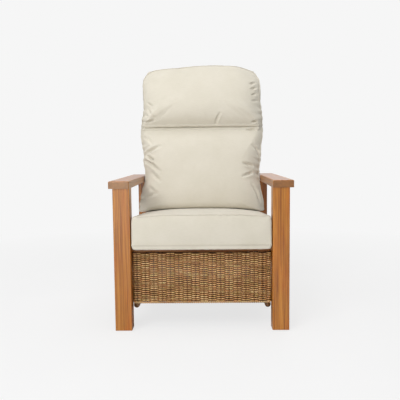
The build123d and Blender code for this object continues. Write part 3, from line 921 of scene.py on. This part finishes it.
def fit_arch(obj, arch):
    """Raises or lowers the pad's top to the arch that its outline shows."""
    start, margin, most = 1.0, 4 * mm, 14 * mm
    points = points_of(obj)
    places, heights = np.array(arch).T * mm
    grid = np.linspace(points[:, 0].min() + margin, points[:, 0].max() - margin, 80)
    change = np.interp(grid, places, heights) - outline_by(points, 0, points[:, 2], grid)
    weight = ease_step(points[:, 2], start, points[:, 2].max())
    points[:, 2] += np.interp(points[:, 0], grid, np.clip(change, -most, most)) * weight
    set_points(obj, points)


def tuck(distance, amount, span, power):
    """How far the cover is drawn in, in millimetres, at a distance from an edge."""
    return amount * np.clip(1 - distance / (span * mm), 0, 1) ** power


def roll_front(obj, low_tuck, high_tuck, fullness):
    """Draws the pad's front in at its lower, upper and side edges and fills it between them."""
    left_tuck, right_tuck, side_span, side_power = 22, 34, 120, 2.4
    points = points_of(obj)
    x, y, z = points.T
    low, high = z.min(), z.max()
    grid = np.arange(low, high, grid_step)
    front, rear = front_and_rear(points, grid)
    weight = ease_step((rear - y) / (rear - front), 0.35, 0.85)
    places = np.linspace(-0.26, 0.26, 60)
    edge = np.interp(x, places, -outline_by(points, 0, -z, places))
    ends = tuck(z - edge, *low_tuck) + tuck(high - z, *high_tuck)
    middle = np.sin(np.clip((z - low) / (high - low), 0, 1) ** 0.7 * math.pi)
    reach = np.interp(z, grid, outline_by(points, 2, np.abs(x), grid))
    side_tuck = np.where(x < 0, left_tuck, right_tuck)
    beside = tuck(reach - np.abs(x), side_tuck, side_span, side_power)
    move = np.maximum(ends, beside) - fullness * middle * (1 - beside / right_tuck)
    points[:, 1] += move * weight * mm
    set_points(obj, points)


def rest_on(obj, support):
    """Lets the pad's lower edge down onto the pad under it."""
    # Rays start above the seat pad and stay inside its outline
    half_width, rear_y, above = 0.262, front_y + 0.492, 0.7
    reach, full_reach, gap = 70 * mm, 8 * mm, 0.8 * mm
    surface = surface_of(support)
    points = points_of(obj)
    low = points[:, 2].min()
    for number in np.nonzero(points[:, 2] < low + reach)[0]:
        x, y, z = points[number]
        start = Vector((min(max(x, -half_width), half_width), min(y, rear_y), above))
        found = surface.ray_cast(start, Vector((0, 0, -1)))[0]
        if found is not None:
            share = 1 - ease_step(z, low + full_reach, low + reach)
            points[number, 2] += (found.z + gap - low) * share
    set_points(obj, points)


def square_edge(obj, level, inward):
    """Sharpens the front edge that the pad has along the seam between the back pads."""
    sample_gaps, band, corner_reach, extension = (14, 28), 4 * mm, 14 * mm, 2.4 * mm
    points = points_of(obj)
    x, y, z = points.T
    places = np.linspace(-0.27, 0.27, 90)
    depths = []
    for distance in sample_gaps:
        ring = points[np.abs(z - level - inward * distance * mm) < band]
        depths.append(np.interp(x, places, -outline_by(ring, 0, -ring[:, 1], places)))
    share = 1 - np.clip(np.abs(z - level) / corner_reach, 0, 1)
    back = y - (depths[0] + (depths[0] - depths[1]) * share)
    picked = (np.abs(z - level) < 12 * mm) & (back > 0) & (back < corner_reach)
    points[picked, 1] -= (back * 0.9 * (1 - ease_step(back, 8 * mm, corner_reach)))[picked]
    near = 1 - ease_step(np.abs(z - level), 4 * mm, 16 * mm)
    near = near * (1 - ease_step(back, 30 * mm, 50 * mm))
    points[:, 2] -= inward * extension * near
    set_points(obj, points)


# Reach of the pads' sides by height, and the arch of the top, in millimetres
lower_left = [
    (430, 299), (454, 296), (477, 291), (524, 285), (560, 274), (605, 274), (630, 280),
    (655, 285), (687, 280), (730, 290), (774, 298), (809, 300), (830, 298),
]
lower_right = [
    (426, 290), (459, 290), (518, 279), (560, 274), (602, 274), (634, 279),
    (681, 285), (729, 287), (768, 295), (802, 298), (830, 297),
]
upper_left = [
    (810, 299), (833, 297), (867, 290), (906, 286), (956, 291), (1034, 294), (1068, 291),
    (1088, 284),
]
upper_right = [
    (802, 298), (826, 297), (874, 295), (949, 290), (1000, 292), (1026, 291), (1060, 288),
    (1080, 282),
]
top_arch = [
    (-287, 1088), (-277, 1098), (-262, 1108), (-211, 1115), (-160, 1121), (-109, 1126),
    (-49, 1131), (17, 1134), (67, 1135), (118, 1134), (178, 1127), (234, 1110),
    (264, 1094), (284, 1078),
]

# Folds by their places in the picture, then their width and depth in millimetres
upper_creases = [
    ([(220, 113), (217, 119), (216, 124)], 7, 3.2),
    ([(250, 84), (255, 83), (261, 82)], 6, 4.0),
    ([(251, 89), (256, 88), (261, 88)], 6, 4.0),
    ([(252, 95), (256, 94), (261, 94)], 6, 3.5),
    ([(252, 101), (257, 101), (262, 102)], 6, 2.5),
    ([(252, 122), (257, 121), (263, 124)], 6, 6.5),
    ([(143, 107), (148, 110), (155, 118)], 7, 5.0),
    ([(143, 113), (147, 116), (151, 122)], 6, 4.0),
    ([(142, 121), (148, 122), (155, 120)], 6, 4.5),
    ([(143, 103), (147, 103), (152, 106)], 6, 2.5),
]
lower_creases = [
    ([(146, 154), (152, 150), (160, 146)], 8, 6.0),
    ([(142, 154), (147, 156), (153, 160)], 7, 8.0),
    ([(144, 160), (151, 164), (160, 171)], 8, 4.5),
    ([(144, 167), (152, 173), (160, 181)], 9, 4.0),
    ([(143, 181), (149, 187), (156, 193)], 9, 3.5),
    ([(142, 199), (149, 196), (157, 193)], 9, 3.5),
    ([(247, 130), (256, 129), (263, 127)], 7, 4.5),
    ([(253, 145), (258, 151), (260, 159)], 8, 4.0),
    ([(244, 163), (252, 166), (261, 170)], 8, 5.0),
    ([(243, 176), (252, 173), (261, 170)], 7, 4.5),
    ([(252, 184), (257, 192), (260, 202)], 9, 4.0),
    ([(143, 137), (148, 139), (152, 144)], 8, 3.5),
]

# Tucks of the back pads: amount and span in millimetres, and power
lower_pad_low_tuck, lower_pad_high_tuck = (36, 52, 2.8), (20, 170, 1.7)
upper_pad_low_tuck, upper_pad_high_tuck = (20, 120, 1.8), (0, 1, 1)
lower_fullness, upper_fullness = 8, 12
seat_pucker, back_pucker = 0.7 * mm, 3.2 * mm
seat_cap, back_cap = 8 * mm, 9 * mm
seam_hold, edge_hold, edge_hold_share = 7 * mm, 12 * mm, 0.9


def holding(points, seams, at_top):
    """How firmly each point is held in the simulation, at the seams and the flat edges."""
    far = np.min([distance_to(points, path)[0] for path, _ in seams], axis=0)
    held = np.exp(-((far / seam_hold) ** 4))
    z = points[:, 2]
    for edge in [z.min()] + ([z.max()] if at_top else []):
        held = np.maximum(held, edge_hold_share * np.exp(-(((z - edge) / edge_hold) ** 4)))
    return held


def dress(obj, node, body):
    """Puts the finished cushion on its body in place of its node."""
    obj.data.materials.clear()
    obj.data.materials.append(cream)
    obj.data.polygons.foreach_set("use_smooth", [True] * len(obj.data.polygons))
    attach(obj, body)
    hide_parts(node)


def make_cushion(node, name, body, seams_of, cap, shape, creases, pucker):
    """Cushion blown up from its solid's form, fitted to its outline, seamed, creased and piped."""
    obj = cushion_from(node, name)
    points = points_of(obj)
    swell(obj, holding(points, seams_of(points), "lower" in name), cap)
    refine(obj)
    shape(obj)
    seams = seams_of(points_of(obj))
    for number, (path, _) in enumerate(seams):
        seam_groove(obj, path, pucker, number + len(name))
    for pixels, width, depth in creases:
        crease(obj, pixels, width * fold_width_factor * mm, depth * fold_depth_factor * mm)
    if body == "back":
        keep_clear(obj)
    dress(obj, node, body)
    laid = []
    for path, closed in seams:
        cord = even(surface_path(obj, path, cord_lift), seam_step, closed, 3)
        laid.append((cord, closed))
    piping(f"{name}_piping", laid, body)
    return obj


def widen_seat(obj):
    """Fills the seat pad out to the legs beside it."""
    points = points_of(obj)
    grid = np.arange(points[:, 1].min(), points[:, 1].max(), widening_step)
    for side in (-1, 1):
        now = outline_by(points, 1, side * points[:, 0], grid)
        change = np.interp(points[:, 1], grid, inner_x - seat_side_gap - now)
        share = np.clip(side * points[:, 0] / np.interp(points[:, 1], grid, now), 0, 1)
        points[:, 0] += side * change * share ** 4
    limit = inner_x - seat_side_limit
    points[:, 0] = np.clip(points[:, 0], -limit, limit)
    set_points(obj, points)


def make_cushions():
    """The seat pad, then the two back pads fitted to it and to each other."""
    seat = make_cushion(
        "seat_cushion", "seat_pad", "base", seat_seams, seat_cap, widen_seat, [], seat_pucker
    )

    def shape_lower(obj):
        rest_on(obj, seat)
        roll_front(obj, lower_pad_low_tuck, lower_pad_high_tuck, lower_fullness)
        fit_reach(obj, lower_left, lower_right)
        square_edge(obj, points_of(obj)[:, 2].max(), -1)

    def shape_upper(obj):
        roll_front(obj, upper_pad_low_tuck, upper_pad_high_tuck, upper_fullness)
        square_edge(obj, points_of(obj)[:, 2].min(), 1)
        fit_reach(obj, upper_left, upper_right)
        fit_arch(obj, top_arch)

    make_cushion(
        "back_cushion_lower", "back_pad_lower", "back", lambda points: back_seams(points, False),
        back_cap, shape_lower, lower_creases, back_pucker,
    )
    make_cushion(
        "back_cushion_upper", "back_pad_upper", "back", lambda points: back_seams(points, True),
        back_cap, shape_upper, upper_creases, back_pucker,
    )


# Floor, light and the pale surround
pale = linear(246, 246, 246)
floor_greys = (linear(236, 236, 236), linear(240, 240, 240))
floor_size = 12.0
# Share of the surround's own tone on the floor, near the chair and far from it
fade_near, fade_far, share_near, share_far = 0.9, 2.6, 0.8, 1.0
surround_strength = 0.3
# Each lamp's place, the point it faces, the length of its side and its power in watts
lamps = {
    "key": ((-1.5, -2.9, 2.8), (0.0, 0.0, 0.5), 2.0, 80.0),
    "fill": ((-0.6, -3.3, 0.6), (0.0, 0.0, 0.4), 1.6, 18.0),
    "top": ((0.0, -0.5, 3.6), (0.0, -0.2, 0.4), 2.0, 40.0),
    "rear": ((1.0, 2.6, 3.2), (0.0, 0.0, 0.5), 2.0, 28.0),
}


def add_floor():
    """Pale floor that keeps the chair's shadow and fades into the surround."""
    size = floor_size
    corners = [(-size, -size, 0), (size, -size, 0), (size, size, 0), (-size, size, 0)]
    data = bpy.data.meshes.new("floor")
    data.from_pydata(corners, [], [(0, 1, 2, 3)])
    floor = bpy.data.objects.new("floor", data)
    scene.collection.objects.link(floor)
    graph = Graph("pale_floor")
    grit = graph.noise((3.0, 3.0, 3.0), 2.0, 0.5)
    base = graph.ramp(grit, [(0.3, floor_greys[0]), (0.7, floor_greys[1])])
    graph.finish(Base_Color=base, Roughness=0.9)
    glow = graph.node("ShaderNodeEmission", {"Color": pale, "Strength": 1.0})
    seen = graph.node("ShaderNodeLightPath").outputs["Is Camera Ray"]
    apart = graph.node(
        "ShaderNodeVectorMath", {0: graph.coordinates("Object")}, operation="LENGTH"
    ).outputs["Value"]
    fade = graph.spread(apart, fade_near, fade_far, share_near, share_far)
    share = graph.math("MULTIPLY", seen, fade)
    inputs = {0: share, 1: graph.shader.outputs[0], 2: glow.outputs[0]}
    both = graph.node("ShaderNodeMixShader", inputs)
    graph.put(graph.tree.nodes["Material Output"].inputs["Surface"], both.outputs[0])
    floor.data.materials.append(graph.material)


def add_surround():
    """World that lights evenly and shows its pale tone to the camera, in metal and in glass."""
    world = bpy.data.worlds.new("surround")
    scene.world = world
    world.use_nodes = True
    tree = world.node_tree
    ground = tree.nodes["Background"]
    ground.inputs["Color"].default_value = white
    ground.inputs["Strength"].default_value = surround_strength
    shown = tree.nodes.new("ShaderNodeBackground")
    shown.inputs["Color"].default_value = pale
    path = tree.nodes.new("ShaderNodeLightPath")
    seen = path.outputs["Is Camera Ray"]
    for kind in ("Is Glossy Ray", "Is Transmission Ray"):
        either = tree.nodes.new("ShaderNodeMath")
        either.operation = "MAXIMUM"
        tree.links.new(seen, either.inputs[0])
        tree.links.new(path.outputs[kind], either.inputs[1])
        seen = either.outputs[0]
    mixed = tree.nodes.new("ShaderNodeMixShader")
    for number, output in enumerate((seen, ground.outputs[0], shown.outputs[0])):
        tree.links.new(output, mixed.inputs[number])
    tree.links.new(mixed.outputs[0], tree.nodes["World Output"].inputs["Surface"])


def add_lamps():
    """Square lamps, each turned to the point it faces."""
    for name, (place, aim, size, power) in lamps.items():
        light = bpy.data.lights.new(name, "AREA")
        light.shape, light.size, light.energy = "SQUARE", size, power
        lamp = bpy.data.objects.new(name, light)
        scene.collection.objects.link(lamp)
        lamp.location = place
        lamp.rotation_mode = "QUATERNION"
        lamp.rotation_quaternion = (Vector(aim) - Vector(place)).to_track_quat("-Z", "Y")


add_camera()
finish_nodes()
panels()
twisted_border()
wrapped_poles()
make_cushions()
add_floor()
add_surround()
add_lamps()
